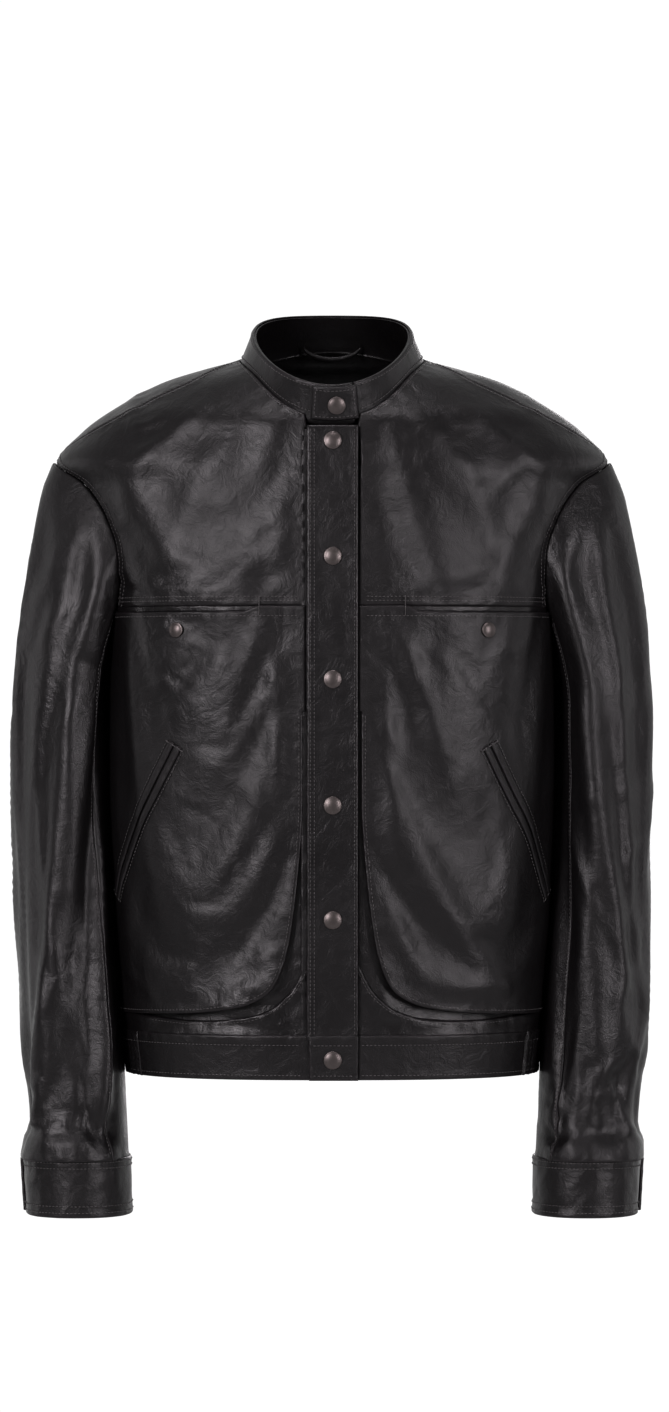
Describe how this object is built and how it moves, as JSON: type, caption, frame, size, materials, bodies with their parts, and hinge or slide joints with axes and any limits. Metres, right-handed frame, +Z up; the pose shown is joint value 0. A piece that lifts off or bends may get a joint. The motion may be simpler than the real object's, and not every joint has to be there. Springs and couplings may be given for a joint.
{
  "type": "leather jacket",
  "caption": "Black leather snap-front jacket with band collar, chest and hand pockets, loose lower front flaps, snap cuffs and gathered hem.",
  "frame": {"origin": "on the centre line between the shoulders, at the height of the side neck points, where shoulders or a hanger carry the jacket", "axes": "+Z up, the jacket faces -Y, the wearer's left is +X"},
  "size_m": [0.542, 0.2564, 0.7622],
  "materials": {
    "leather": "semi-gloss, fine grain",
    "lining": "smooth twill",
    "elastic": "ribbed webbing",
    "snap_metal": "dark brushed gunmetal"
  },
  "bodies": {
    "jacket_body": {"back_panel": "leather", "back_yoke": "leather", "left_front_yoke": "leather", "right_front_yoke": "leather", "left_front_flap": "leather", "right_front_flap": "leather", "left_lower_front": "leather", "right_lower_front": "leather", "right_stud_band": "leather", "left_front_underlay": "leather", "right_front_underlay": "leather", "left_chest_pocket_welt": "leather", "right_chest_pocket_welt": "leather", "left_hand_pocket_welts": "leather", "right_hand_pocket_welts": "leather", "collar_outer": "leather", "collar_inner": "leather", "left_hem_band": "leather", "right_hem_band": "leather", "hem_band_back": "leather", "left_hem_gather": "leather", "right_hem_gather": "leather", "back_lining": "lining", "left_front_lining": "lining", "right_front_lining": "lining", "left_chest_pocket_bag": "lining", "right_chest_pocket_bag": "lining", "left_hand_pocket_bag": "lining", "right_hand_pocket_bag": "lining", "left_hem_elastic": "elastic", "right_hem_elastic": "elastic", "chest_snap_caps": "snap_metal", "front_snap_studs": "snap_metal", "collar_snap_stud": "snap_metal"},
    "placket": {"front_placket": "leather", "placket_facing": "leather", "hem_tab": "leather", "front_snap_caps": "snap_metal", "front_snap_sockets": "snap_metal"},
    "collar_tab": {"collar_tab": "leather", "collar_snap_cap": "snap_metal", "collar_snap_socket": "snap_metal"},
    "hanger_loop": {"hanger_loop": "leather"},
    "left_sleeve": {"left_top_sleeve": "leather", "left_under_sleeve": "leather", "left_sleeve_lining": "lining", "left_cuff": "leather", "left_cuff_snap_stud": "snap_metal"},
    "left_cuff_tab": {"left_cuff_tab": "leather", "left_cuff_snap_cap": "snap_metal", "left_cuff_snap_socket": "snap_metal"},
    "right_sleeve": {"right_top_sleeve": "leather", "right_under_sleeve": "leather", "right_sleeve_lining": "lining", "right_cuff": "leather", "right_cuff_snap_stud": "snap_metal"},
    "right_cuff_tab": {"right_cuff_tab": "leather", "right_cuff_snap_cap": "snap_metal", "right_cuff_snap_socket": "snap_metal"}
  },
  "joints": [
    {"name": "placket_open", "type": "hinge", "parent": "jacket_body", "child": "placket", "pos_m": [0.0215, -0.1276, -0.33], "axis": [0, 0.012, 0.9999], "range_deg": [0, 110]},
    {"name": "collar_tab_open", "type": "hinge", "parent": "jacket_body", "child": "collar_tab", "pos_m": [0.02, -0.11502, -0.04825], "axis": [0, -0.2428, 0.9701], "range_deg": [0, 110]},
    {"name": "left_sleeve_swing", "type": "hinge", "parent": "jacket_body", "child": "left_sleeve", "pos_m": [0.238, 0.008, -0.088], "axis": [0, -1, 0], "range_deg": [0, 70]},
    {"name": "right_sleeve_swing", "type": "hinge", "parent": "jacket_body", "child": "right_sleeve", "pos_m": [-0.238, 0.008, -0.088], "axis": [0, 1, 0], "range_deg": [0, 70]},
    {"name": "left_cuff_tab_open", "type": "hinge", "parent": "left_sleeve", "child": "left_cuff_tab", "pos_m": [0.2612, -0.028, -0.699], "axis": [-0.065, 0, -0.9979], "range_deg": [0, 100]},
    {"name": "right_cuff_tab_open", "type": "hinge", "parent": "right_sleeve", "child": "right_cuff_tab", "pos_m": [-0.2612, -0.028, -0.699], "axis": [-0.065, 0, 0.9979], "range_deg": [0, 100]},
    {"name": "hanger_loop_swing", "type": "hinge", "parent": "jacket_body", "child": "hanger_loop", "pos_m": [0, 0.0396, 0.015], "axis": [-1, 0, 0], "range_deg": [0, 140]}
  ]
}
